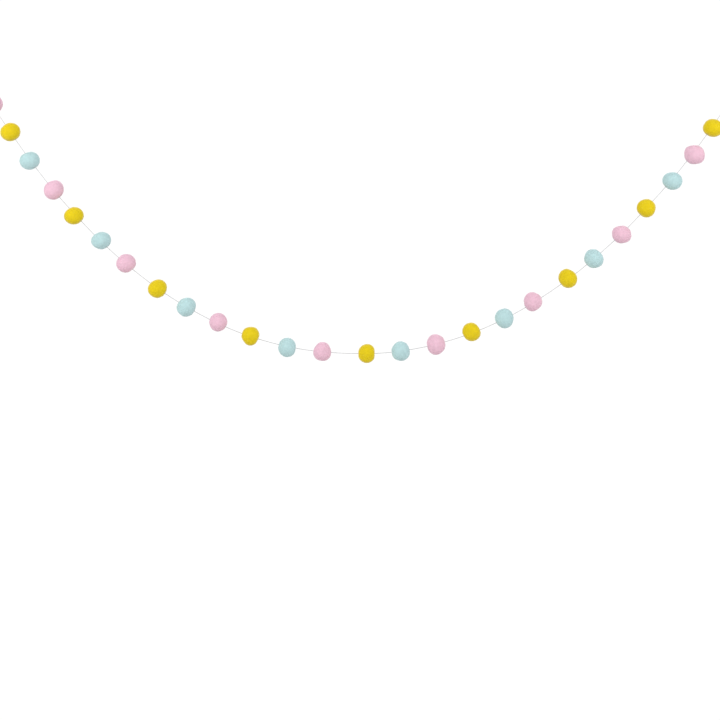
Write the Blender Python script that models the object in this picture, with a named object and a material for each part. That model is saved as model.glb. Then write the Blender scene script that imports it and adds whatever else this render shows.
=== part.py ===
"""Felt ball garland: felted balls on a fine white string that hangs in a curve between two tied loops.

Units are metres and +Z is up. +X runs along the garland to the right, and -Y faces the viewer.
The origin is the point that the left loop hangs from.
"""

import math

import bmesh
import bpy
from mathutils import Vector

MM = 0.001

# The string
STRING_DIAMETER = 1.0 * MM
STRING_BEVEL_STEPS = 2

# The hanging loops, each tied with one overhand knot
RIGHT_HOOK = Vector((1052.0, 0.0, 0.0)) * MM
LOOP_REACH = 18.0 * MM      # from the middle of the hook to the middle of the knot
LOOP_BEND = 3.5 * MM        # radius of the string round the hook
LEG_START = 2.8 * MM        # from the knot's middle to where the loop's legs begin inside it
LEG_STEPS = 4
BEND_STEPS = 12
KNOT_HALF_LENGTH = 3.4 * MM
KNOT_RADIUS = 2.2 * MM
KNOT_RIDGE = 0.12           # height of the knot's turns, as a share of its radius
KNOT_TURNS = 3
KNOT_SIDES = 16
KNOT_RINGS = 10
TAIL_START = 1.0 * MM
TAIL_LENGTH = 9.0 * MM
TAIL_ANGLE = math.radians(38)
TAIL_CURL = math.radians(10)
TAIL_STEPS = 4

# The felted balls
BALL_SIDES = 18
BALL_RINGS = 9
SURFACE_STEPS = 8           # tries at finding the felt's surface from the string, each nearer
SAME_PLACE = 0.0001
HOLE_RADIUS = 0.9 * MM      # leaves 0.4 mm round the string
PUCKER = 0.5 * MM           # how far the felt is drawn in at the needle hole
FLAT_EDGE = 0.6 * MM        # softness of a pressed flat's edge
SIDE_FLAT = 0.7 * MM        # depth of the two shallow flats at the front and the back
SIDE_FLAT_TILT = math.radians(55)
SIDE_FLAT_TURN = math.radians(137.5)
SEAT_GAP = 0.3 * MM         # between pieces that touch

# Each ball, from the left. x and z are where the string's curve passes through it, sits is how far
# its middle lies above the string, across and along are its widths over and along the string, and
# lean turns it anticlockwise on the string. It is pressed flat at one to four places round its
# outline, spaced evenly from the direction pressed_at, each press deep. Millimetres and degrees.
COLUMNS = ("colour", "x", "z", "sits", "across", "along", "lean", "presses", "pressed_at", "press")
BALLS = (
    ("pink", 34.0, -57.0, 1.0, 26.5, 24.0, -14, 1, 200, 0.6),
    ("yellow", 58.0, -93.5, 0.0, 27.0, 24.0, -18, 1, 130, 0.6),
    ("blue", 84.5, -131.0, -1.0, 27.0, 24.0, -25, 1, 112, 1.6),
    ("pink", 115.5, -171.0, 0.5, 27.5, 25.0, 2, 1, 108, 1.0),
    ("yellow", 144.5, -203.5, -2.5, 26.5, 23.0, -32, 1, 130, 0.5),
    ("blue", 178.5, -239.0, 1.0, 27.0, 23.0, -32, 3, 117, 0.4),
    ("pink", 212.0, -269.0, 0.5, 26.5, 24.5, -28, 1, 305, 0.5),
    ("yellow", 254.5, -302.0, -0.5, 26.5, 24.0, -19, 3, 108, 0.3),
    ("blue", 293.0, -326.5, -0.5, 27.0, 24.5, -14, 3, 106, 0.4),
    ("pink", 334.5, -348.5, 1.5, 25.0, 24.0, -2, 1, 200, 0.5),
    ("yellow", 378.0, -366.0, 0.5, 26.0, 24.0, 6, 3, 94, 1.0),
    ("blue", 427.5, -379.5, -1.5, 26.0, 24.0, 13, 1, 350, 0.5),
    ("pink", 474.0, -386.5, 0.0, 26.0, 24.5, -2, 3, 23, 0.8),
    ("yellow", 533.5, -389.0, 0.0, 25.5, 23.5, -10, 1, 0, 1.7),
    ("blue", 578.5, -385.5, -0.5, 26.5, 25.0, -1, 3, 21, 0.4),
    ("pink", 625.5, -376.5, -0.5, 28.0, 25.0, -8, 3, 72, 0.3),
    ("yellow", 673.5, -361.5, 1.5, 25.5, 24.0, 17, 1, 35, 0.8),
    ("blue", 717.0, -342.5, 0.5, 27.0, 25.0, -13, 3, 109, 0.3),
    ("pink", 755.5, -321.0, 1.5, 26.0, 25.0, -28, 3, 65, 0.8),
    ("yellow", 802.0, -289.5, 1.0, 26.5, 24.0, 0, 1, 60, 0.9),
    ("blue", 836.0, -262.5, 0.0, 27.0, 24.5, 9, 3, 41, 0.5),
    ("pink", 872.5, -229.5, -1.0, 27.0, 24.0, 27, 4, 10, 0.6),
    ("yellow", 906.0, -195.0, 0.0, 25.5, 24.5, 17, 3, 106, 0.5),
    ("blue", 939.5, -157.5, -2.0, 27.0, 23.5, 29, 3, 97, 0.3),
    ("pink", 968.0, -122.0, -3.0, 29.0, 26.0, 12, 4, 5, 0.9),
    ("yellow", 993.5, -87.0, -2.0, 27.5, 23.5, 21, 1, 150, 0.6),
)

COLOURS = {
    "pink": "F0C4D6",
    "yellow": "E8CC22",
    "blue": "BEDEE2",
    "string": "F2F0EC",
}
FELT_ROUGHNESS = 0.95
STRING_ROUGHNESS = 0.8


def clear_scene():
    """Remove whatever the scene holds."""
    for old in list(bpy.data.objects):
        bpy.data.objects.remove(old, do_unlink=True)


def linear(hex_colour):
    """An sRGB hex colour as linear red, green, blue and alpha."""
    channels = [int(hex_colour[i:i + 2], 16) / 255 for i in (0, 2, 4)]
    return [c / 12.92 if c <= 0.04045 else ((c + 0.055) / 1.055) ** 2.4 for c in channels] + [1.0]


def make_material(name, roughness):
    """A plain matt finish in the named colour."""
    material = bpy.data.materials.new(name)
    material.use_nodes = True
    shader = material.node_tree.nodes["Principled BSDF"]
    shader.inputs["Base Color"].default_value = linear(COLOURS[name])
    shader.inputs["Roughness"].default_value = roughness
    shader.inputs["Metallic"].default_value = 0.0
    return material


def add_object(name, data, material, parent):
    """Link a new object for the mesh or curve, in its material, under the garland's empty."""
    item = bpy.data.objects.new(name, data)
    data.materials.append(material)
    bpy.context.collection.objects.link(item)
    item.parent = parent
    return item


def flat_direction(angle):
    """The unit vector at an anticlockwise angle from +X, in the plane that the garland hangs in."""
    return Vector((math.cos(angle), 0.0, math.sin(angle)))


# The string's route


def route_points():
    """The points that the string's curve runs through: knot, every ball, knot."""
    through = [Vector((ball["x"], 0.0, ball["z"])) * MM for ball in balls()]
    return [knot_centre(Vector(), through[0])] + through + [knot_centre(RIGHT_HOOK, through[-1])]


def balls():
    """The rows of the table, each as a dictionary by column name."""
    return [dict(zip(COLUMNS, row)) for row in BALLS]


def knot_centre(hook, first_ball):
    """The middle of the knot, on the straight line from the hook to the nearest ball."""
    return hook + (first_ball - hook).normalized() * LOOP_REACH


def heading(route, index):
    """The string's direction at a point of the route, from its two neighbours."""
    before = route[max(index - 1, 0)]
    after = route[min(index + 1, len(route) - 1)]
    return (after - before).normalized()


def on_string(route, index, distance):
    """The point on the smooth curve, a distance along it past one point of the route."""
    start = route[index]
    end = route[index + 1]
    span = (end - start).length
    t = distance / span
    leaving = heading(route, index) * span
    arriving = heading(route, index + 1) * span
    return (
        start * (2 * t ** 3 - 3 * t ** 2 + 1)
        + leaving * (t ** 3 - 2 * t ** 2 + t)
        + end * (3 * t ** 2 - 2 * t ** 3)
        + arriving * (t ** 3 - t ** 2)
    )


def span_length(route, index):
    """The distance from one point of the route to the next."""
    return (route[index + 1] - route[index]).length


def ball_faces(route, index, ball):
    """Where the string enters and leaves a ball, just outside its felt."""
    reach = ball["across"] / 2 * MM
    entry = on_string(route, index - 1, span_length(route, index - 1) - reach)
    leave = on_string(route, index, reach)
    return entry, leave


def string_points(route):
    """The string's own points: two at each ball, one between each two balls, and its two ends."""
    end_gap = KNOT_HALF_LENGTH + SEAT_GAP
    points = [on_string(route, 0, end_gap)]
    for index, ball in enumerate(balls(), start=1):
        points.extend(ball_faces(route, index, ball))
        if index < len(BALLS):
            points.append(on_string(route, index, span_length(route, index) / 2))
    last = len(route) - 2
    points.append(on_string(route, last, span_length(route, last) - end_gap))
    return points


def tube(name, points):
    """A round string as a bevelled curve with closed ends."""
    curve = bpy.data.curves.new(name, "CURVE")
    curve.dimensions = "3D"
    curve.bevel_depth = STRING_DIAMETER / 2
    curve.bevel_resolution = STRING_BEVEL_STEPS
    curve.use_fill_caps = True
    spline = curve.splines.new("POLY")
    spline.points.add(len(points) - 1)
    for target, point in zip(spline.points, points):
        target.co = (*point, 1.0)
    return curve


# The felted balls


def pressed_radius(direction, ball, thread_angle, number):
    """The ball's reach from its middle in one direction, seen with the string along +X."""
    half_along = ball["along"] / 2 * MM
    half_across = ball["across"] / 2 * MM
    short_axis = flat_direction(math.radians(ball["lean"]))

    def oval(toward):
        share = toward.dot(short_axis) ** 2
        return 1 / math.sqrt(share / half_along ** 2 + (1 - share) / half_across ** 2)

    def press(reach, toward, depth):
        facing = direction.dot(toward)
        if facing <= 0:
            return reach
        flat = (oval(toward) - depth) / facing
        return -FLAT_EDGE * math.log(math.exp(-reach / FLAT_EDGE) + math.exp(-flat / FLAT_EDGE))

    reach = oval(direction)
    for place in range(ball["presses"]):
        angle = math.radians(ball["pressed_at"] + 360 * place / ball["presses"]) - thread_angle
        reach = press(reach, flat_direction(angle), ball["press"] * MM)
    for side in (-1, 1):
        around = flat_direction(SIDE_FLAT_TURN * number * side) * math.cos(SIDE_FLAT_TILT)
        depthwise = Vector((0.0, side * math.sin(SIDE_FLAT_TILT), 0.0))
        reach = press(reach, around + depthwise, SIDE_FLAT)
    return reach


def felt_surface(direction, middle, reach_of):
    """Where a ray from the string inside the ball comes out through the felt."""
    point = direction * reach_of(direction)
    for _ in range(SURFACE_STEPS):
        outward = point - middle
        point = point * (reach_of(outward.normalized()) / outward.length)
    return point


def ball_mesh(name, ball, thread_angle, number):
    """A bead spun round the string, then squashed, pressed flat in places and puckered at its hole."""
    bm = bmesh.new()
    rim = math.asin(HOLE_RADIUS / (ball["along"] / 2 * MM))
    profile = []
    for ring in range(BALL_RINGS + 1):
        angle = rim + (math.pi - 2 * rim) * ring / BALL_RINGS
        profile.append(bm.verts.new((math.cos(angle), 0.0, math.sin(angle))))
    edges = [bm.edges.new(pair) for pair in zip(profile, profile[1:] + profile[:1])]
    bmesh.ops.spin(
        bm, geom=profile + edges, cent=(0, 0, 0), axis=(1, 0, 0), angle=2 * math.pi,
        steps=BALL_SIDES, use_merge=True,
    )
    middle = Vector((0.0, 0.0, ball["sits"] * MM))
    rim_cosine = math.cos(rim) - SAME_PLACE

    def reach_of(direction):
        return pressed_radius(direction, ball, thread_angle, number)

    for vertex in bm.verts:
        direction = vertex.co.normalized()
        point = felt_surface(direction, middle, reach_of)
        if abs(direction.x) > rim_cosine:
            around = Vector((0.0, direction.y, direction.z)).normalized()
            drawn_in = point.x - math.copysign(PUCKER, point.x)
            point = Vector((drawn_in, 0.0, 0.0)) + around * HOLE_RADIUS
        vertex.co = point
    bmesh.ops.recalc_face_normals(bm, faces=bm.faces)
    mesh = bpy.data.meshes.new(name)
    bm.to_mesh(mesh)
    bm.free()
    mesh.shade_smooth()
    return mesh


def add_balls(route, felts, garland):
    """Thread every ball on the string, each turned to the string's direction inside it."""
    for number, ball in enumerate(balls(), start=1):
        entry, leave = ball_faces(route, number, ball)
        run = leave - entry
        thread_angle = math.atan2(run.z, run.x)
        name = f"ball_{number:02d}_{ball['colour']}"
        mesh = ball_mesh(name, ball, thread_angle, number)
        item = add_object(name, mesh, felts[ball["colour"]], garland)
        item.location = (entry + leave) / 2
        item.rotation_euler = (0.0, -thread_angle, 0.0)


# The hanging loops


def lower_side(away):
    """The unit vector square to the string's end that points down."""
    side = Vector((-away.z, 0.0, away.x))
    return side if side.z < 0 else -side


def loop_route(hook, away):
    """A teardrop from the knot, round the hook and back, with away pointing from hook to knot."""
    side = lower_side(away)
    knot = hook + away * LOOP_REACH
    lean = math.asin(LOOP_BEND / LOOP_REACH)
    leg = math.cos(lean) * LOOP_REACH
    points = []
    for step in range(LEG_STEPS):
        distance = LEG_START + (leg - LEG_START) * step / LEG_STEPS
        points.append(knot - away * math.cos(lean) * distance + side * math.sin(lean) * distance)
    for step in range(BEND_STEPS + 1):
        turn = -lean + (math.pi + 2 * lean) * step / BEND_STEPS
        points.append(hook + side * math.cos(turn) * LOOP_BEND - away * math.sin(turn) * LOOP_BEND)
    other_leg = [point - side * 2 * (point - hook).dot(side) for point in points[:LEG_STEPS]]
    return points + other_leg[::-1]


def tail_route(knot, away):
    """The thread's cut end, hanging from the knot below the string."""
    side = lower_side(away)
    points = []
    for step in range(TAIL_STEPS + 1):
        share = step / TAIL_STEPS
        angle = TAIL_ANGLE + TAIL_CURL * share
        toward = away * math.cos(angle) + side * math.sin(angle)
        points.append(knot + toward * (TAIL_START + (TAIL_LENGTH - TAIL_START) * share))
    return points


def knot_mesh(name):
    """An overhand knot as one firm lump whose turns stand up as ridges, with its length along +X."""
    bm = bmesh.new()
    bmesh.ops.create_uvsphere(bm, u_segments=KNOT_SIDES, v_segments=KNOT_RINGS, radius=1.0)
    for vertex in bm.verts:
        # the sphere's poles are on Z, and the knot's length runs along X
        along = vertex.co.z
        around = math.atan2(vertex.co.y, vertex.co.x)
        width = math.hypot(vertex.co.x, vertex.co.y)
        ridge = 1 + KNOT_RIDGE * width * math.cos(KNOT_TURNS * around + math.pi * along)
        vertex.co = (
            -along * KNOT_HALF_LENGTH,
            math.sin(around) * width * ridge * KNOT_RADIUS,
            math.cos(around) * width * ridge * KNOT_RADIUS,
        )
    bmesh.ops.recalc_face_normals(bm, faces=bm.faces)
    mesh = bpy.data.meshes.new(name)
    bm.to_mesh(mesh)
    bm.free()
    return mesh


def solid_tube(name, points):
    """The mesh of a round string along the points."""
    guide = bpy.data.objects.new(name, tube(name, points))
    bpy.context.collection.objects.link(guide)
    bpy.context.view_layer.update()
    mesh = bpy.data.meshes.new_from_object(guide.evaluated_get(bpy.context.evaluated_depsgraph_get()))
    bpy.data.objects.remove(guide, do_unlink=True)
    return mesh


def add_guide(name, mesh):
    """A shape that is fused into a loop and isn't a piece of its own."""
    guide = bpy.data.objects.new(name, mesh)
    bpy.context.collection.objects.link(guide)
    guide.hide_render = True
    guide.display_type = "WIRE"
    return guide


def fuse(item, guide):
    """Fuse a guide into a solid."""
    union = item.modifiers.new(guide.name, "BOOLEAN")
    union.operation = "UNION"
    union.solver = "EXACT"
    union.object = guide


def add_loop(name, hook, first_ball, material, garland):
    """One hanging loop with its knot and tail, fused into one solid."""
    away = (first_ball - hook).normalized()
    knot = knot_centre(hook, first_ball)
    lump = add_guide(name + "_knot", knot_mesh(name + "_knot"))
    lump.location = knot
    lump.rotation_euler = (0.0, -math.atan2(away.z, away.x), 0.0)
    tail = add_guide(name + "_tail", solid_tube(name + "_tail", tail_route(knot, away)))
    loop = add_object(name, solid_tube(name, loop_route(hook, away)), material, garland)
    loop.data.shade_smooth()
    fuse(loop, lump)
    fuse(loop, tail)


def main():
    """Build the garland."""
    clear_scene()
    garland = bpy.data.objects.new("garland", None)
    bpy.context.collection.objects.link(garland)
    felts = {colour: make_material(colour, FELT_ROUGHNESS) for colour in ("pink", "yellow", "blue")}
    thread = make_material("string", STRING_ROUGHNESS)
    route = route_points()
    add_object("string", tube("string", string_points(route)), thread, garland)
    add_balls(route, felts, garland)
    add_loop("loop_left", Vector(), route[1], thread, garland)
    add_loop("loop_right", RIGHT_HOOK, route[-2], thread, garland)


main()
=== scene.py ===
"""Felt ball garland: felted balls on a fine twisted thread that hangs in a curve between two loops.

Units are metres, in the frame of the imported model: +X along the garland, +Z up, -Y towards the viewer.
"""

import math

import bmesh
import bpy
from bpy.props import FloatProperty, FloatVectorProperty, IntProperty, PointerProperty
from mathutils import Matrix, Vector
from mathutils.geometry import interpolate_bezier


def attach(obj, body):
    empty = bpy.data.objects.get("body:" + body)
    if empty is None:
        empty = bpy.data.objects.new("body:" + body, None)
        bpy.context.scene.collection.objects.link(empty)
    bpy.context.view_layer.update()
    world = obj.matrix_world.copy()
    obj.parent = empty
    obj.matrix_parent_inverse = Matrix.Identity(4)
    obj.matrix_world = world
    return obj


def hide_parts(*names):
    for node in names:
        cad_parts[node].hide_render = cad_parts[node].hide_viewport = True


bl_info = {
    "name": "Felt ball garland",
    "version": (1, 0, 0),
    "blender": (4, 5, 0),
    "location": "View3D > Sidebar > Garland",
    "description": "Dresses a garland of felted balls on a knotted thread, with its floor and lights",
    "category": "Object",
}

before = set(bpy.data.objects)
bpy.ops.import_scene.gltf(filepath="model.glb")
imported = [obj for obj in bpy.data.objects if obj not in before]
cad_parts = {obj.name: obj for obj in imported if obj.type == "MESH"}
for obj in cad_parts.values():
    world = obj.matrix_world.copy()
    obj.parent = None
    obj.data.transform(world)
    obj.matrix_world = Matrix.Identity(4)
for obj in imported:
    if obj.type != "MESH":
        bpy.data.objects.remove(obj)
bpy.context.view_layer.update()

MM = 0.001
BODY = "root"

# Where the thread's curve passes through each ball, from the left, and the middles of the two hooks
STRUNG_AT = (
    (0.0340, -0.0570), (0.0580, -0.0935), (0.0845, -0.1310), (0.1155, -0.1710), (0.1445, -0.2035),
    (0.1785, -0.2390), (0.2120, -0.2690), (0.2545, -0.3020), (0.2930, -0.3265), (0.3345, -0.3485),
    (0.3780, -0.3660), (0.4275, -0.3795), (0.4740, -0.3865), (0.5335, -0.3890), (0.5785, -0.3855),
    (0.6255, -0.3765), (0.6735, -0.3615), (0.7170, -0.3425), (0.7555, -0.3210), (0.8020, -0.2895),
    (0.8360, -0.2625), (0.8725, -0.2295), (0.9060, -0.1950), (0.9395, -0.1575), (0.9680, -0.1220),
    (0.9935, -0.0870),
)
LEFT_HOOK = Vector((0.0, 0.0, 0.0))
RIGHT_HOOK = Vector((1.052, 0.0, 0.0))

# The knotted loops
LOOP_REACH = 18 * MM        # from the middle of the hook to the middle of the knot
LOOP_BEND = 3.5 * MM        # radius of the thread round the hook
BEND_STEPS = 8              # from one leg of the loop round the hook to the other
CORE_REACH = 2.4 * MM       # from the knot's middle to the turns at its ends
CORE_SPREAD = 0.5 * MM      # from the knot's own axis to each of the four strands inside it
WRAP_RADIUS = 1.75 * MM     # from the knot's axis to the strands wound round it
WRAP_TURNS = 1.5
WRAP_STEPS = 12             # points for each turn
STRANDS_START = (math.radians(225), math.radians(45))   # where round the knot the two strands wind from
TAIL_LENGTH = 9 * MM
TAIL_STEPS = (0.45, 0.7, 1.0)   # where the tail's points lie, as shares of its length
TAIL_ANGLE = math.radians(38)
TAIL_CURL = math.radians(10)    # how much it turns on the way to its cut end
STRING_IN_KNOT = 1.5 * MM   # how far from the knot's middle the long thread ends, hidden in it

# The plied thread
PLIES = 3
POINTS_A_PLY = 6            # across the thread's section, an even number
GROOVE = 0.6                # how far from the axis the grooves lie, as a share of the radius
STRING_STEPS = 12           # rings in one turn of the plies
LOOP_STEPS = 24             # finer, for the knots' tight bends
CURVE_RESOLUTION = 12       # steps of the curve from one point of its route to the next
LOOSE_ROOT = 0.3            # the share of a loose fibre that is held in the thread
LOOSE_TILT = (math.radians(35), math.radians(85))   # the least and the most, from straight out

# The balls' felt
BEAD_RADIUS = 8 * MM        # of the small ball that is let out to each ball's shape
SKIN_SIDES = 56
SKIN_RINGS = 36
OPEN_RINGS = 2              # rings at each pole that give way to the needle hole
PUCKER = ((0.57, 0.35 * MM), (0.47, 0.6 * MM))   # how much each ring round the hole narrows and sinks
SMOOTH_ROUNDS = 4           # these take away the flat faces of the CAD ball
LUMP_SIZE = 7 * MM          # across the broad lumps
DENT_SIZE = 1.4 * MM        # across the small dents
SKIN_UNDER = 0.25 * MM      # how far the skin lies under the CAD ball, for the fibres on it
MATTED = 0.8                # the share of fibres that lie along the skin; the rest stand out as fuzz
LYING_TILT = (math.radians(84), math.radians(98))   # the least and the most, from straight out
STANDING_TILT = (math.radians(15), math.radians(80))
LYING_THICKEST = 1.4        # the most that a lying fibre's width is scaled
FUZZ_ROOT = 0.2             # the share of a standing fibre that is held in the felt

# Each fibre
FIBRE_WIDTH = 0.05 * MM     # wider than the 0.03 mm of real wool, so that it shows
FIBRE_RISE = 0.09 * MM      # how far a lying fibre's middle stands over its ends, on a round ball
FIBRE_THINNEST = 0.6        # the least that a fibre's width is scaled
FIBRE_SHORTEST = 0.5        # the least and the most that its length is scaled
FIBRE_LONGEST = 1.5
FIBRE_PAINTED_PALEST = 1.25         # the palest fibre's colour against the skin's; the darkest is as the skin. The lift is partly random tone and partly painted light against the shade each fibre casts on itself

# The finishes. Shades are given as their place in the noise and their share of the colour
FLEECE_CLOUD = 5 * MM
FLEECE_SHADES = ((0.3, 0.97), (0.7, 1.02))
STRAND_SPACING = 0.4 * MM   # of the fibres drawn in the felt's shader
STRAND_STRETCH = 0.1        # how much they change along their length, against across it
STRAND_WAVER = 1.6 * MM     # how far they stray from a straight line
STRAND_BEND = 3 * MM        # how long each of their bends is
STRAND_EDGE = 0.12          # how far from its middle value the noise still draws a fibre
STRAND_PAINTED_SHADE = (0.74, 1.04)    # painted shade in the gaps between those fibres, and painted light on them, following their height in the bump
STRAND_RISE = 0.06 * MM     # how far they stand up in the bump
FLECK_SIZE = 0.15 * MM
# darker where the flecks' bump sinks: painted shade between the thread's fibres
FLECK_PAINTED_SHADES = ((0.35, 0.84), (0.6, 1.0))
FLECK_RISE = 0.04 * MM
TOOTH_SIZE = 4 * MM
TOOTH_SHADES = ((0.0, 0.98), (1.0, 1.0))

# The stage
PICTURE_WIDTH = 0.96        # how much of the garland's plane the camera takes in
CAMERA_DISTANCE = 2.5
SENSOR = 36.0
PICTURE_MIDDLE = Vector((0.52427, 0.0, -0.39747))
WHITE = (1.0, 1.0, 1.0, 1.0)
SEEN_SURROUND = 1.05        # how bright the camera sees the surround, so that it is clean white
LIGHTS = (                  # each soft light's setting, place, the point that it faces, and size
    ("left", (-0.75, -0.75, 0.1), (0.2, 0.0, -0.2), 0.9),
    ("right", (1.8, -0.75, 0.1), (0.85, 0.0, -0.2), 0.9),
    ("back", (0.52, 1.9, 1.3), (0.52, 0.0, -0.3), 1.2),
    ("front", (0.52, -2.3, 0.6), (0.52, 0.0, -0.3), 1.2),
)
FLOOR_SIDES = 128


def linear(hex_colour):
    """An sRGB hex colour as linear red, green and blue."""
    channels = [int(hex_colour[i:i + 2], 16) / 255 for i in (0, 2, 4)]
    return [c / 12.92 if c <= 0.04045 else ((c + 0.055) / 1.055) ** 2.4 for c in channels]


# The sizes and colours that a user may change


class FeltSettings(bpy.types.PropertyGroup):
    """Colours and surface of the felted balls."""

    pink: FloatVectorProperty(
        name="Pink", description="Colour of the pink felt in full light", default=linear("E5BDCE"),
        subtype="COLOR", min=0.0, max=1.0,
    )
    yellow: FloatVectorProperty(
        name="Yellow", description="Colour of the yellow felt in full light", default=linear("DFC719"),
        subtype="COLOR", min=0.0, max=1.0,
    )
    blue: FloatVectorProperty(
        name="Blue", description="Colour of the pale blue felt in full light", default=linear("B7D5D7"),
        subtype="COLOR", min=0.0, max=1.0,
    )
    lumps: FloatProperty(
        name="Lumps", description="How far the broad lumps of hand-rolled felt rise and fall",
        default=0.3 * MM, unit="LENGTH", min=0.0,
    )
    dents: FloatProperty(
        name="Dents", description="How far the small dents between them rise and fall",
        default=0.14 * MM, unit="LENGTH", min=0.0,
    )
    fibre_length: FloatProperty(
        name="Fibre length", description="Length of the fibres that show on the felt's skin",
        default=2.2 * MM, unit="LENGTH", min=0.1 * MM,
    )
    fuzz: FloatProperty(
        name="Fuzz", description="Length of the loose fibre ends that stand out of the skin",
        default=1.1 * MM, unit="LENGTH", min=0.1 * MM,
    )
    fibres: IntProperty(
        name="Fibres a ball", description="About how many fibres show on each ball", default=4200,
        min=0,
    )


class ThreadSettings(bpy.types.PropertyGroup):
    """Size and colour of the twisted thread."""

    diameter: FloatProperty(
        name="Diameter", description="Across the twisted thread", default=1.0 * MM, unit="LENGTH",
    )
    lay: FloatProperty(
        name="Lay", description="Length of one whole turn of the plies", default=4.5 * MM,
        unit="LENGTH",
    )
    colour: FloatVectorProperty(
        name="Colour", description="Colour of the thread in full light", default=linear("CBCBCD"),
        subtype="COLOR", min=0.0, max=1.0,
    )
    fuzz: FloatProperty(
        name="Fuzz", description="Length of the loose fibres on the thread", default=1.2 * MM,
        unit="LENGTH", min=0.1 * MM,
    )
    fibres: IntProperty(
        name="Fibres a metre", description="About how many loose fibres stand out of a metre of thread",
        default=1300, min=0,
    )


class StageSettings(bpy.types.PropertyGroup):
    """Size and colour of the floor, and strength of the lights."""

    floor_depth: FloatProperty(
        name="Floor depth", description="How far the floor lies below the hooks", default=1.5,
        unit="LENGTH",
    )
    floor_radius: FloatProperty(
        name="Floor radius", description="Radius of the floor, kept out of the camera's view",
        default=3.0, unit="LENGTH",
    )
    floor_colour: FloatVectorProperty(
        name="Floor colour", description="Colour of the plain floor", default=linear("F4F3F1"),
        subtype="COLOR", min=0.0, max=1.0,
    )
    surround: FloatProperty(
        name="Surround", description="Strength of the light from all sides", default=0.68, min=0.0,
    )
    left: FloatProperty(
        name="Left light", description="Power of the soft light on the left", default=7.9,
        unit="POWER", min=0.0,
    )
    right: FloatProperty(
        name="Right light", description="Power of the soft light on the right", default=6.5,
        unit="POWER", min=0.0,
    )
    back: FloatProperty(
        name="Back light", description="Power of the soft light high behind the garland", default=17.4,
        unit="POWER", min=0.0,
    )
    front: FloatProperty(
        name="Front light", description="Power of the soft light above the camera", default=17.4,
        unit="POWER", min=0.0,
    )


# Modelling by hand


def take(piece):
    """Select one object alone and make it the active one."""
    if bpy.context.object and bpy.context.object.mode != "OBJECT":
        bpy.ops.object.mode_set(mode="OBJECT")
    bpy.ops.object.select_all(action="DESELECT")
    piece.select_set(True)
    bpy.context.view_layer.objects.active = piece


def copy_of(piece, name):
    """A copy of an object with its own mesh."""
    take(piece)
    bpy.ops.object.duplicate(linked=False)
    copy = bpy.context.object
    copy.name = name
    copy.data.name = name
    return copy


def name_new(name):
    """Name the object that an operator has just added."""
    piece = bpy.context.object
    piece.name = name
    piece.data.name = name
    return piece


def pick(piece, wanted):
    """Go into edit mode with the vertices selected whose place is wanted."""
    take(piece)
    bpy.ops.object.mode_set(mode="EDIT")
    bpy.ops.mesh.select_mode(type="VERT")
    bpy.ops.mesh.select_all(action="DESELECT")
    bpy.ops.object.mode_set(mode="OBJECT")
    for vertex in piece.data.vertices:
        vertex.select = wanted(vertex.co)
    bpy.ops.object.mode_set(mode="EDIT")


def leave_edit():
    """Go back to object mode."""
    bpy.ops.object.mode_set(mode="OBJECT")


def put_in_order(piece):
    """Store a mesh's points by their place, and its edges and faces by their points.

    Some operators store them in another order each run, and the fibres are scattered face by face.
    """
    mesh = bmesh.new()
    mesh.from_mesh(piece.data)
    for parts, rule in (
        (mesh.verts, lambda vertex: tuple(vertex.co)),
        (mesh.edges, lambda edge: sorted(vertex.index for vertex in edge.verts)),
        (mesh.faces, lambda face: [vertex.index for vertex in face.verts]),
    ):
        for rank, part in enumerate(sorted(parts, key=rule)):
            part.index = rank
        parts.sort()
    mesh.to_mesh(piece.data)
    mesh.free()


def finish_modifier(piece, kind, **settings):
    """Add a modifier with its settings and apply it."""
    modifier = piece.modifiers.new(kind.title(), kind)
    for name, value in settings.items():
        setattr(modifier, name, value)
    take(piece)
    bpy.ops.object.modifier_apply(modifier=modifier.name)


def settle(piece):
    """Put a piece's place into its mesh, so that its object sits at the origin."""
    take(piece)
    bpy.ops.object.transform_apply(location=True, rotation=True, scale=True)


def dress(piece, material, slot_name, *nodes):
    """Give a finished piece its material and body, and hide the CAD nodes that it stands for. The slot
    name is not used.
    """
    piece.data.materials.clear()
    piece.data.materials.append(material)
    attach(piece, BODY)
    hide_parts(*nodes)


# Materials


def add_node(tree, kind, settings=(), inputs=()):
    """Add a node, with its own settings and with values or links for its inputs."""
    node = tree.nodes.new(kind)
    for name, value in dict(settings).items():
        setattr(node, name, value)
    for name, value in dict(inputs).items():
        if isinstance(value, bpy.types.NodeSocket):
            tree.links.new(value, node.inputs[name])
        else:
            node.inputs[name].default_value = value
    return node


def shade(colour, factor):
    """A colour made darker or lighter by a factor, with alpha."""
    return (*(min(1.0, c * factor) for c in colour), 1.0)


def new_material(name):
    """An empty material, its node tree, its shader and its Object coordinates."""
    material = bpy.data.materials.new(name)
    material.use_nodes = True
    tree = material.node_tree
    shader = tree.nodes["Principled BSDF"]
    place = add_node(tree, "ShaderNodeTexCoord").outputs["Object"]
    return material, tree, shader, place


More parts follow.
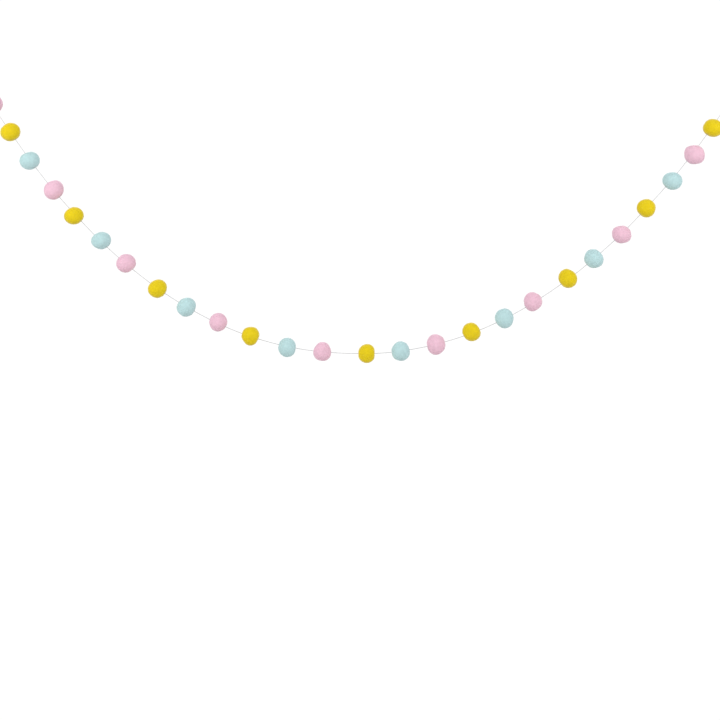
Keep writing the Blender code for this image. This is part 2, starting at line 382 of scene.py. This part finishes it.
def matted_strands(tree, place):
    """Nodes for matted fibres: three sets of thin wavering lines that cross, as a height from 0 to 1."""
    drift = add_node(
        tree, "ShaderNodeTexNoise", inputs={"Vector": place, "Scale": 1 / STRAND_BEND, "Detail": 1.0},
    )
    centred = add_node(
        tree, "ShaderNodeVectorMath", {"operation": "SUBTRACT"},
        {0: drift.outputs["Color"], 1: (0.5, 0.5, 0.5)},
    )
    pushed = add_node(
        tree, "ShaderNodeVectorMath", {"operation": "MULTIPLY_ADD"},
        {0: centred.outputs["Vector"], 1: (STRAND_WAVER,) * 3, 2: place},
    ).outputs["Vector"]
    height = None
    for axis in range(3):
        stretch = [1.0, 1.0, 1.0]
        stretch[axis] = STRAND_STRETCH
        drawn = add_node(
            tree, "ShaderNodeVectorMath", {"operation": "MULTIPLY"}, {0: pushed, 1: stretch},
        )
        noise = add_node(
            tree, "ShaderNodeTexNoise",
            inputs={"Vector": drawn.outputs["Vector"], "Scale": 1 / STRAND_SPACING, "Detail": 0.0},
        )
        off = add_node(
            tree, "ShaderNodeMath", {"operation": "SUBTRACT"}, {0: noise.outputs["Fac"], 1: 0.5},
        )
        away = add_node(tree, "ShaderNodeMath", {"operation": "ABSOLUTE"}, {0: off.outputs["Value"]})
        line = add_node(
            tree, "ShaderNodeMapRange",
            inputs={
                "Value": away.outputs["Value"], "From Max": STRAND_EDGE, "To Min": 1.0, "To Max": 0.0,
            },
        ).outputs["Result"]
        if height:
            line = add_node(
                tree, "ShaderNodeMath", {"operation": "MAXIMUM"}, {0: height, 1: line},
            ).outputs["Value"]
        height = line
    return height


def felted_wool(name, colour):
    """Wet-felted wool, dyed in the fleece: dead matt, cloudy shades under a mat of crossing fibres.

    The fleece's shades give soft clouds 5 mm wide. The matted fibres are drawn 0.1 mm wide, coarser
    than the 0.03 mm real ones, so that they show, with painted shade in the gaps between them and
    painted light on their tops. Wool's scales reflect white, so the loose fibre ends pale the colour in
    a narrow rim, where the skin turns away.
    """
    material, tree, shader, place = new_material(name)
    clouds = add_node(
        tree, "ShaderNodeTexNoise",
        inputs={"Vector": place, "Scale": 1 / FLEECE_CLOUD, "Detail": 2.0, "Roughness": 0.55},
    )
    shades = add_node(tree, "ShaderNodeValToRGB", inputs={"Fac": clouds.outputs["Fac"]})
    for end, (position, factor) in zip(shades.color_ramp.elements, FLEECE_SHADES):
        end.position = position
        end.color = shade(colour, factor)
    strands = matted_strands(tree, place)
    # The colour follows the drawn fibres' height: painted shade in the gaps between them, painted light
    # on their tops
    between, on = STRAND_PAINTED_SHADE
    strand_painted_shade = add_node(
        tree, "ShaderNodeMapRange", inputs={"Value": strands, "To Min": between, "To Max": on},
    )
    # Fibres are painted paler than the skin at random: partly their own tone, partly painted light
    # against the shade that each fibre casts on itself
    fibre = add_node(tree, "ShaderNodeAttribute", {"attribute_name": "fibre_shade"})
    both = add_node(
        tree, "ShaderNodeMath", {"operation": "MULTIPLY"},
        {0: strand_painted_shade.outputs["Result"], 1: fibre.outputs["Fac"]},
    )
    stranded = add_node(
        tree, "ShaderNodeVectorMath", {"operation": "SCALE"},
        {"Vector": shades.outputs["Color"], "Scale": both.outputs["Value"]},
    )
    bump = add_node(
        tree, "ShaderNodeBump", inputs={"Height": strands, "Strength": 0.6, "Distance": STRAND_RISE},
    )
    tree.links.new(stranded.outputs["Vector"], shader.inputs["Base Color"])
    tree.links.new(bump.outputs["Normal"], shader.inputs["Normal"])
    shader.inputs["Roughness"].default_value = 0.95
    shader.inputs["Specular IOR Level"].default_value = 0.15
    shader.inputs["Sheen Weight"].default_value = 1.0
    shader.inputs["Sheen Roughness"].default_value = 0.3
    return material


def spun_cotton(name, colour):
    """Cotton, spun and plied: pale grey, with a faint gleam and fine darker flecks between its fibres.

    The flecks are drawn 0.15 mm wide, coarser than the 0.02 mm real fibres, so that they show. Their
    darkness is painted shade, deepest where the bump sinks between the fibres.
    """
    material, tree, shader, place = new_material(name)
    flecks = add_node(
        tree, "ShaderNodeTexNoise",
        inputs={"Vector": place, "Scale": 1 / FLECK_SIZE, "Detail": 2.0},
    )
    # The flecks' colour follows their bump: painted shade where it sinks between the fibres
    shades = add_node(tree, "ShaderNodeValToRGB", inputs={"Fac": flecks.outputs["Fac"]})
    for end, (position, factor) in zip(shades.color_ramp.elements, FLECK_PAINTED_SHADES):
        end.position = position
        end.color = shade(colour, factor)
    bump = add_node(
        tree, "ShaderNodeBump",
        inputs={"Height": flecks.outputs["Fac"], "Strength": 0.6, "Distance": FLECK_RISE},
    )
    tree.links.new(shades.outputs["Color"], shader.inputs["Base Color"])
    tree.links.new(bump.outputs["Normal"], shader.inputs["Normal"])
    shader.inputs["Roughness"].default_value = 0.8
    shader.inputs["Specular IOR Level"].default_value = 0.3
    return material


def matt_paper(name, colour):
    """Seamless studio paper: matt and pale, with a faint tooth, drawn 4 mm wide so that it shows."""
    material, tree, shader, place = new_material(name)
    tooth = add_node(
        tree, "ShaderNodeTexNoise", inputs={"Vector": place, "Scale": 1 / TOOTH_SIZE, "Detail": 2.0},
    )
    shades = add_node(tree, "ShaderNodeValToRGB", inputs={"Fac": tooth.outputs["Fac"]})
    for end, (position, factor) in zip(shades.color_ramp.elements, TOOTH_SHADES):
        end.position = position
        end.color = shade(colour, factor)
    tree.links.new(shades.outputs["Color"], shader.inputs["Base Color"])
    shader.inputs["Roughness"].default_value = 0.9
    return material


# The thread's route


def knot_middle(hook, first_ball):
    """The middle of the knot, on the straight line from the hook to the nearest ball."""
    return hook + (first_ball - hook).normalized() * LOOP_REACH


def route_points():
    """The points that the thread's curve runs through: knot, every ball, knot."""
    through = [Vector((x, 0.0, z)) for x, z in STRUNG_AT]
    return [knot_middle(LEFT_HOOK, through[0])] + through + [knot_middle(RIGHT_HOOK, through[-1])]


def heading(route, index):
    """The thread's direction at a point of the route, from its two neighbours."""
    before = route[max(index - 1, 0)]
    after = route[min(index + 1, len(route) - 1)]
    return (after - before).normalized()


def handles(route, index):
    """The curve's two handles between a point of the route and the next."""
    start = route[index]
    end = route[index + 1]
    third = (end - start).length / 3
    return start + heading(route, index) * third, end - heading(route, index + 1) * third


def centreline(route):
    """The thread's centreline as close points, for measuring it."""
    points = []
    for index in range(len(route) - 1):
        leave, arrive = handles(route, index)
        points += interpolate_bezier(
            route[index], leave, arrive, route[index + 1], CURVE_RESOLUTION + 1,
        )[:-1]
    return points + [route[-1]]


def length_of(points):
    """The length of a line through points."""
    return sum((b - a).length for a, b in zip(points, points[1:]))


# Loose and matted fibres


def keep_group(piece, name, wanted):
    """Keep the vertices whose place is wanted as a named group."""
    group = piece.vertex_groups.new(name=name)
    group.add([vertex.index for vertex in piece.data.vertices if wanted(vertex.co)], 1.0, "REPLACE")


def model_fibre(name, root, tip, raised):
    """One fibre: three thin sides, pointed at root and tip, and raised where it is thickest."""
    bpy.ops.mesh.primitive_cone_add(
        vertices=3, radius1=FIBRE_WIDTH / 2, radius2=0.0, depth=tip, end_fill_type="NGON",
        location=(0.0, 0.0, tip / 2),
    )
    fibre = name_new(name)
    settle(fibre)
    pick(fibre, lambda place: place.z < tip / 2)
    bpy.ops.mesh.extrude_region_move(TRANSFORM_OT_translate={"value": (0.0, 0.0, -root)})
    bpy.ops.mesh.merge(type="CENTER")
    leave_edit()
    pick(fibre, lambda place: abs(place.z) < root / 2)
    bpy.ops.transform.translate(value=(0.0, raised, 0.0))
    leave_edit()
    return fibre


def scatter(tree, skin, density, seed, fibre, tilts, thickest):
    """Nodes that scatter a fibre over the skin, each copy with its own tilt, size and shade.

    The fibres keep the skin's normal, so that they take the light as the skin does. Each is painted
    paler than the skin at random, partly as its own tone and partly as painted light against the shade
    that it casts on itself.
    """
    points = add_node(
        tree, "GeometryNodeDistributePointsOnFaces", {"distribute_method": "RANDOM"},
        {"Mesh": skin, "Density": density, "Seed": seed},
    ).outputs
    # a random lift of each fibre's colour: partly tone, partly painted light against its own shade
    shades = add_node(
        tree, "FunctionNodeRandomValue", {"data_type": "FLOAT"},
        {2: 1.0, 3: FIBRE_PAINTED_PALEST, "Seed": seed},
    )
    shaded = add_node(
        tree, "GeometryNodeStoreNamedAttribute", {"data_type": "FLOAT", "domain": "POINT"},
        {"Geometry": points["Points"], "Name": "fibre_shade", "Value": shades.outputs[1]},
    ).outputs["Geometry"]
    tilt = add_node(
        tree, "FunctionNodeRandomValue", {"data_type": "FLOAT_VECTOR"},
        {"Min": (tilts[0], 0.0, 0.0), "Max": (tilts[1], 0.0, 2 * math.pi), "Seed": seed},
    ).outputs["Value"]
    tilted = add_node(tree, "FunctionNodeEulerToRotation", inputs={"Euler": tilt}).outputs["Rotation"]
    turned = add_node(
        tree, "FunctionNodeRotateRotation", {"rotation_space": "LOCAL"},
        {"Rotation": points["Rotation"], "Rotate By": tilted},
    ).outputs["Rotation"]
    least = (FIBRE_THINNEST, FIBRE_THINNEST, FIBRE_SHORTEST)
    most = (thickest, thickest, FIBRE_LONGEST)
    size = add_node(
        tree, "FunctionNodeRandomValue", {"data_type": "FLOAT_VECTOR"},
        {"Min": least, "Max": most, "Seed": seed},
    ).outputs["Value"]
    shape = add_node(tree, "GeometryNodeObjectInfo", inputs={"Object": fibre}).outputs["Geometry"]
    grown = add_node(
        tree, "GeometryNodeInstanceOnPoints",
        inputs={"Points": shaded, "Rotation": turned, "Scale": size, "Instance": shape},
    ).outputs["Instances"]
    fibres = add_node(
        tree, "GeometryNodeRealizeInstances", inputs={"Geometry": grown},
    ).outputs["Geometry"]
    return add_node(
        tree, "GeometryNodeSetMeshNormal", {"mode": "FREE", "domain": "POINT"},
        {"Mesh": fibres, "Custom Normal": points["Normal"]},
    ).outputs["Mesh"]


def pile_nodes(name, layers):
    """Geometry nodes that scatter layers of fibres over a piece's skin and join them to it.

    A layer is its fibre, its share of all fibres, their least and most tilt from straight out, and
    the most that their width is scaled.
    """
    tree = bpy.data.node_groups.new(name, "GeometryNodeTree")
    tree.interface.new_socket("Geometry", in_out="INPUT", socket_type="NodeSocketGeometry")
    tree.interface.new_socket("Seed", in_out="INPUT", socket_type="NodeSocketInt")
    tree.interface.new_socket("Density", in_out="INPUT", socket_type="NodeSocketFloat")
    tree.interface.new_socket("Geometry", in_out="OUTPUT", socket_type="NodeSocketGeometry")
    given = add_node(tree, "NodeGroupInput").outputs
    skin = add_node(
        tree, "GeometryNodeInputNamedAttribute", {"data_type": "FLOAT"}, {"Name": "skin"},
    ).outputs["Attribute"]
    scattered = []
    for fibre, share, tilts, thickest in layers:
        wanted = add_node(
            tree, "ShaderNodeMath", {"operation": "MULTIPLY"}, {0: given["Density"], 1: share},
        )
        density = add_node(
            tree, "ShaderNodeMath", {"operation": "MULTIPLY"}, {0: skin, 1: wanted.outputs["Value"]},
        ).outputs["Value"]
        scattered.append(
            scatter(tree, given["Geometry"], density, given["Seed"], fibre, tilts, thickest)
        )
    own = add_node(tree, "GeometryNodeInputNormal").outputs["Normal"]
    bare = add_node(
        tree, "GeometryNodeSetMeshNormal", {"mode": "FREE", "domain": "POINT"},
        {"Mesh": given["Geometry"], "Custom Normal": own},
    ).outputs["Mesh"]
    plain = add_node(
        # the bare skin keeps its own colour, with no painted lift
        tree, "GeometryNodeStoreNamedAttribute", {"data_type": "FLOAT", "domain": "POINT"},
        {"Geometry": bare, "Name": "fibre_shade", "Value": 1.0},
    ).outputs["Geometry"]
    joined = add_node(tree, "GeometryNodeJoinGeometry")
    for layer in (plain, *scattered):
        tree.links.new(layer, joined.inputs["Geometry"])
    add_node(tree, "NodeGroupOutput", inputs={"Geometry": joined.outputs["Geometry"]})
    return tree


def grow_pile(piece, pile, seed, density):
    """Grow fibres on a piece's skin, so many to a square metre."""
    grow = piece.modifiers.new("Pile", "NODES")
    grow.node_group = pile
    grow["Socket_1"] = seed
    grow["Socket_2"] = density
    take(piece)
    bpy.ops.object.modifier_apply(modifier=grow.name)


# The thread and its loops


def guide_along(name, points):
    """A smooth curve close by the points, for the thread to be bent along."""
    bpy.ops.curve.primitive_nurbs_path_add()
    guide = name_new(name)
    guide.data.splines.clear()
    spline = guide.data.splines.new("NURBS")
    spline.points.add(len(points) - 1)
    for target, point in zip(spline.points, points):
        target.co = (*point, 1.0)
    spline.order_u = 3
    spline.use_endpoint_u = True
    spline.resolution_u = CURVE_RESOLUTION
    return guide


def curve_length(guide):
    """The length of a curve object."""
    take(guide)
    bpy.ops.object.duplicate(linked=False)
    bpy.ops.object.convert(target="MESH")
    line = bpy.context.object
    length = length_of([vertex.co for vertex in line.data.vertices])
    bpy.data.objects.remove(line, do_unlink=True)
    return length


def points_from_crest(place, sides):
    """How many points of the thread's section lie between this one and the nearest ply's crest."""
    ply = 2 * math.pi / PLIES
    angle = math.atan2(place.x, place.y) % ply
    return round(min(angle, ply - angle) * sides / (2 * math.pi))


def plied_thread(name, points, thread, steps, pile, seed):
    """A thread of twisted plies along the points, closed at both ends, with loose fibres on it."""
    guide = guide_along(name + "_guide", points)
    length = curve_length(guide)
    turns = max(1, round(length / thread.lay))
    sides = PLIES * POINTS_A_PLY
    take(guide)
    bpy.ops.mesh.primitive_circle_add(vertices=sides, radius=thread.diameter / 2, fill_type="NOTHING")
    yarn = name_new(name)
    half = POINTS_A_PLY // 2
    for count in range(1, half + 1):
        narrowing = 1 - (1 - GROOVE) * (count / half) ** 3
        pick(yarn, lambda place: points_from_crest(place, sides) == count)
        bpy.ops.transform.resize(value=(narrowing, narrowing, 1.0), center_override=(0.0, 0.0, 0.0))
        leave_edit()
    finish_modifier(
        yarn, "SCREW", axis="Z", angle=2 * math.pi, screw_offset=length / turns, iterations=turns,
        steps=steps, render_steps=steps, use_smooth_shade=True,
    )
    pick(yarn, lambda place: False)
    bpy.ops.mesh.select_all(action="SELECT")
    bpy.ops.mesh.remove_doubles(threshold=0.001 * MM)
    bpy.ops.mesh.fill_holes(sides=sides)
    bpy.ops.mesh.select_all(action="SELECT")
    bpy.ops.mesh.normals_make_consistent(inside=False)
    leave_edit()
    finish_modifier(yarn, "CURVE", object=guide, deform_axis="POS_Z")
    bpy.data.objects.remove(guide, do_unlink=True)
    settle(yarn)
    keep_group(yarn, "skin", lambda place: True)
    grow_pile(yarn, pile, seed, thread.fibres / (math.pi * thread.diameter))
    return yarn


def loose_pile(thread):
    """Geometry nodes for the thread's loose fibres, and the fibre that they scatter."""
    loose = model_fibre("loose_fibre", thread.fuzz * LOOSE_ROOT, thread.fuzz * (1 - LOOSE_ROOT), 0.0)
    return pile_nodes("loose_pile", ((loose, 1.0, LOOSE_TILT, 1.0),)), loose


def lower_side(away):
    """The unit vector square to the thread's end that points down."""
    side = Vector((-away.z, 0.0, away.x))
    return side if side.z < 0 else -side


def wrap(radius, start, end, first_angle, turns):
    """Points of one strand that winds round the knot's axis from start to end, along it."""
    count = round(WRAP_STEPS * abs(turns))
    points = []
    for step in range(count + 1):
        share = step / count
        angle = first_angle + 2 * math.pi * turns * share
        along = start + (end - start) * share
        points.append((along, math.cos(angle) * radius, math.sin(angle) * radius))
    return points


def loop_points(hook, first_ball, thread):
    """The thread's end: through the knot, round the hook, back through the knot and out as its tail.

    In the knot the doubled thread runs inside, turns back, winds round itself and runs inside again,
    which is an overhand knot drawn tight. Its own axes are along the thread away from the hook, down
    across it, and out towards the viewer.
    """
    away = (first_ball - hook).normalized()
    side = lower_side(away)
    out = Vector((0.0, -1.0, 0.0))
    knot = knot_middle(hook, first_ball)
    wide = CORE_SPREAD
    reach = CORE_REACH
    pitch = thread.diameter
    near = [(reach, -wide, -wide), (0.0, -wide, -wide), (-reach, -wide, -wide)]
    wound = wrap(WRAP_RADIUS, -reach + pitch / 2, reach - pitch, STRANDS_START[0], WRAP_TURNS)
    inner = [(reach, -wide, wide), (0.0, -wide, wide), (-reach, -wide, wide)]
    other_inner = [(-reach, wide, wide), (0.0, wide, wide), (reach, wide, wide)]
    other_wound = wrap(WRAP_RADIUS, reach, -reach + pitch * 1.5, STRANDS_START[1], -WRAP_TURNS)
    other_near = [(-reach, wide, -wide), (0.0, wide, -wide), (reach, wide, -wide)]
    tail = []
    for share in TAIL_STEPS:
        angle = TAIL_ANGLE + TAIL_CURL * share
        tail.append((math.cos(angle) * share * TAIL_LENGTH, math.sin(angle) * share * TAIL_LENGTH, 0.0))
    lean = math.asin(LOOP_BEND / LOOP_REACH)
    bend = []
    for step in range(BEND_STEPS + 1):
        turn = math.pi + lean - (math.pi + 2 * lean) * step / BEND_STEPS
        bend.append((-LOOP_REACH - math.sin(turn) * LOOP_BEND, math.cos(turn) * LOOP_BEND, 0.0))
    local = near + wound + inner + bend + other_inner + other_wound + other_near + tail
    return [knot + away * a + side * s + out * o for a, s, o in local]


class GARLAND_OT_string(bpy.types.Operator):
    """Twist the long thread and lay it on its route through all the balls"""

    bl_idname = "garland.string"
    bl_label = "String"

    def execute(self, context):
        thread = context.scene.garland_thread
        route = route_points()
        route[0] += heading(route, 0) * STRING_IN_KNOT
        route[-1] -= heading(route, len(route) - 1) * STRING_IN_KNOT
        points = centreline(route)
        pile, loose = loose_pile(thread)
        string = plied_thread("string_thread", points, thread, STRING_STEPS, pile, 1)
        bpy.data.objects.remove(loose, do_unlink=True)
        dress(string, spun_cotton("spun_cotton_string", thread.colour), "string_white", "string")
        return {"FINISHED"}


class GARLAND_OT_loops(bpy.types.Operator):
    """Tie the two hanging loops at the thread's ends"""

    bl_idname = "garland.loops"
    bl_label = "Hanging loops"

    def execute(self, context):
        thread = context.scene.garland_thread
        cotton = spun_cotton("spun_cotton_loops", thread.colour)
        route = route_points()
        pile, loose = loose_pile(thread)
        for seed, node, hook, first_ball in (
            (2, "loop_left", LEFT_HOOK, route[1]),
            (3, "loop_right", RIGHT_HOOK, route[-2]),
        ):
            points = loop_points(hook, first_ball, thread)
            loop = plied_thread(node + "_thread", points, thread, LOOP_STEPS, pile, seed)
            dress(loop, cotton, "string_white", node)
        bpy.data.objects.remove(loose, do_unlink=True)
        return {"FINISHED"}


# The balls


def model_bead():
    """A small ball of even faces round the X axis, open at both poles for the needle hole."""
    bpy.ops.mesh.primitive_uv_sphere_add(
        segments=SKIN_SIDES, ring_count=SKIN_RINGS, radius=BEAD_RADIUS,
        rotation=(0.0, math.pi / 2, 0.0),
    )
    bead = name_new("bead")
    settle(bead)
    ring = math.pi / SKIN_RINGS
    open_from = BEAD_RADIUS * math.cos(ring * (OPEN_RINGS - 0.5))
    pick(bead, lambda place: abs(place.x) > open_from)
    bpy.ops.mesh.delete(type="VERT")
    leave_edit()
    rim_from = BEAD_RADIUS * math.cos(ring * (OPEN_RINGS + 0.5))
    keep_group(bead, "left_rim", lambda place: place.x < -rim_from)
    keep_group(bead, "right_rim", lambda place: place.x > rim_from)
    keep_group(bead, "skin", lambda place: abs(place.x) < rim_from)
    take(bead)
    bpy.ops.object.shade_smooth()
    put_in_order(bead)
    return bead


def pucker_hole(ball):
    """Draw the felt in round the thread at both ends and line the needle hole between them."""
    for rim, inward in (("left_rim", 1), ("right_rim", -1)):
        pick(ball, lambda place: False)
        ball.vertex_groups.active = ball.vertex_groups[rim]
        bpy.ops.object.vertex_group_select()
        for narrowing, sinking in PUCKER:
            bpy.ops.mesh.extrude_edges_move()
            bpy.ops.transform.resize(
                value=(1.0, narrowing, narrowing), center_override=(0.0, 0.0, 0.0),
            )
            bpy.ops.transform.translate(value=(sinking * inward, 0.0, 0.0))
        leave_edit()
    pick(ball, lambda place: False)
    bpy.ops.mesh.select_non_manifold(
        extend=False, use_wire=False, use_boundary=True, use_multi_face=False,
        use_non_contiguous=False, use_verts=False,
    )
    bpy.ops.mesh.bridge_edge_loops()
    bpy.ops.mesh.select_all(action="SELECT")
    bpy.ops.mesh.normals_make_consistent(inside=False)
    leave_edit()
    put_in_order(ball)


def lump_texture(name, size):
    """Soft clouds of one size that raise and sink the felt."""
    texture = bpy.data.textures.new(name, "CLOUDS")
    texture.noise_scale = size
    texture.noise_depth = 1
    return texture


def felt_ball(bead, node_name, middle, direction, felt, textures):
    """Let the bead out to one ball's own shape, pucker it at its hole and make its skin uneven.

    It is let out where the ball sits, and puckered at the origin, where its hole runs along X.
    """
    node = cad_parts[node_name]
    ball = copy_of(bead, node_name + "_felt")
    turned = direction.to_track_quat("X", "Z").to_matrix().to_4x4()
    place = Matrix.Translation(middle) @ turned
    ball.matrix_world = place
    bpy.context.view_layer.update()
    finish_modifier(
        ball, "SHRINKWRAP", target=node, wrap_method="PROJECT", use_positive_direction=True,
        use_negative_direction=False, offset=-SKIN_UNDER,
    )
    finish_modifier(ball, "SMOOTH", factor=0.5, iterations=SMOOTH_ROUNDS)
    ball.matrix_world = Matrix.Identity(4)
    pucker_hole(ball)
    ball.matrix_world = place
    settle(ball)
    for texture, strength in zip(textures, (felt.lumps, felt.dents)):
        if strength > 0:
            finish_modifier(
                ball, "DISPLACE", texture=texture, texture_coords="GLOBAL", strength=strength,
                mid_level=0.5, vertex_group="skin",
            )
    return ball


class GARLAND_OT_balls(bpy.types.Operator):
    """Felt every ball in its own colour on the thread"""

    bl_idname = "garland.balls"
    bl_label = "Felted balls"

    def execute(self, context):
        felt = context.scene.garland_felt
        route = route_points()
        bead = model_bead()
        half = felt.fibre_length / 2
        root = felt.fuzz * FUZZ_ROOT
        lying = model_fibre("lying_fibre", half, half, FIBRE_RISE)
        standing = model_fibre("standing_fibre", root, felt.fuzz * (1 - FUZZ_ROOT), 0.0)
        pile = pile_nodes("felt_pile", (
            (lying, MATTED, LYING_TILT, LYING_THICKEST),
            (standing, 1 - MATTED, STANDING_TILT, 1.0),
        ))
        wools = {
            colour: felted_wool("felted_wool_" + colour, getattr(felt, colour))
            for colour in ("pink", "yellow", "blue")
        }
        textures = [lump_texture("felt_lumps", LUMP_SIZE), lump_texture("felt_dents", DENT_SIZE)]
        names = sorted(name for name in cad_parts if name.startswith("ball_"))
        for number, name in enumerate(names, start=1):
            colour = name.split("_")[-1]
            ball = felt_ball(bead, name, route[number], heading(route, number), felt, textures)
            area = sum(face.area for face in ball.data.polygons)
            grow_pile(ball, pile, number, felt.fibres / area)
            dress(ball, wools[colour], "felt_" + colour, name)
        for pattern in (bead, lying, standing):
            bpy.data.objects.remove(pattern, do_unlink=True)
        return {"FINISHED"}


# The stage


def soft_light(name, place, target, size, power):
    """A square soft light that faces a point."""
    bpy.ops.object.light_add(type="AREA", location=place)
    light = name_new(name)
    light.data.shape = "SQUARE"
    light.data.size = size
    light.data.energy = power
    light.rotation_euler = (Vector(target) - Vector(place)).to_track_quat("-Z", "Y").to_euler()


class GARLAND_OT_stage(bpy.types.Operator):
    """Set the camera, the lights, the white surround and the floor"""

    bl_idname = "garland.stage"
    bl_label = "Stage"

    def execute(self, context):
        stage = context.scene.garland_stage
        bpy.ops.object.camera_add(
            location=PICTURE_MIDDLE - Vector((0.0, CAMERA_DISTANCE, 0.0)),
            rotation=(math.pi / 2, 0.0, 0.0),
        )
        camera = name_new("camera")
        camera.data.sensor_width = SENSOR
        camera.data.lens = SENSOR * CAMERA_DISTANCE / PICTURE_WIDTH
        context.scene.camera = camera
        context.scene.view_settings.view_transform = "Standard"
        world = bpy.data.worlds.new("white_surround")
        world.use_nodes = True
        tree = world.node_tree
        tree.nodes.clear()
        light = add_node(
            tree, "ShaderNodeBackground", inputs={"Color": WHITE, "Strength": stage.surround},
        ).outputs["Background"]
        seen = add_node(
            tree, "ShaderNodeBackground", inputs={"Color": WHITE, "Strength": SEEN_SURROUND},
        ).outputs["Background"]
        by_camera = add_node(tree, "ShaderNodeLightPath").outputs["Is Camera Ray"]
        mixed = add_node(tree, "ShaderNodeMixShader", inputs={"Fac": by_camera, 1: light, 2: seen})
        add_node(tree, "ShaderNodeOutputWorld", inputs={"Surface": mixed.outputs["Shader"]})
        context.scene.world = world
        for name, place, target, size in LIGHTS:
            soft_light(name + "_light", place, target, size, getattr(stage, name))
        bpy.ops.mesh.primitive_circle_add(
            vertices=FLOOR_SIDES, radius=stage.floor_radius, fill_type="NGON",
            location=(PICTURE_MIDDLE.x, 0.0, -stage.floor_depth),
        )
        floor = name_new("floor")
        settle(floor)
        floor.data.materials.append(matt_paper("matt_paper_floor", stage.floor_colour))
        return {"FINISHED"}


class GARLAND_PT_panel(bpy.types.Panel):
    """The garland's pieces and sizes"""

    bl_idname = "GARLAND_PT_panel"
    bl_label = "Felt ball garland"
    bl_space_type = "VIEW_3D"
    bl_region_type = "UI"
    bl_category = "Garland"

    def draw(self, context):
        layout = self.layout
        for group in ("garland_felt", "garland_thread", "garland_stage"):
            settings = getattr(context.scene, group)
            box = layout.box()
            for name in settings.__annotations__:
                box.prop(settings, name)
        for operator in OPERATORS:
            layout.operator(operator.bl_idname)


OPERATORS = (GARLAND_OT_stage, GARLAND_OT_loops, GARLAND_OT_string, GARLAND_OT_balls)
SETTINGS = {
    "garland_felt": FeltSettings,
    "garland_thread": ThreadSettings,
    "garland_stage": StageSettings,
}


def register():
    """Register the settings, the operators and the panel."""
    for name, group in SETTINGS.items():
        bpy.utils.register_class(group)
        setattr(bpy.types.Scene, name, PointerProperty(type=group))
    for item in (*OPERATORS, GARLAND_PT_panel):
        bpy.utils.register_class(item)


def unregister():
    """Take them all away again."""
    for item in (GARLAND_PT_panel, *reversed(OPERATORS)):
        bpy.utils.unregister_class(item)
    for name, group in SETTINGS.items():
        delattr(bpy.types.Scene, name)
        bpy.utils.unregister_class(group)


def main():
    """Make the garland and its stage."""
    register()
    bpy.ops.garland.stage()
    bpy.ops.garland.loops()
    bpy.ops.garland.string()
    bpy.ops.garland.balls()


if __name__ == "__main__":
    main()
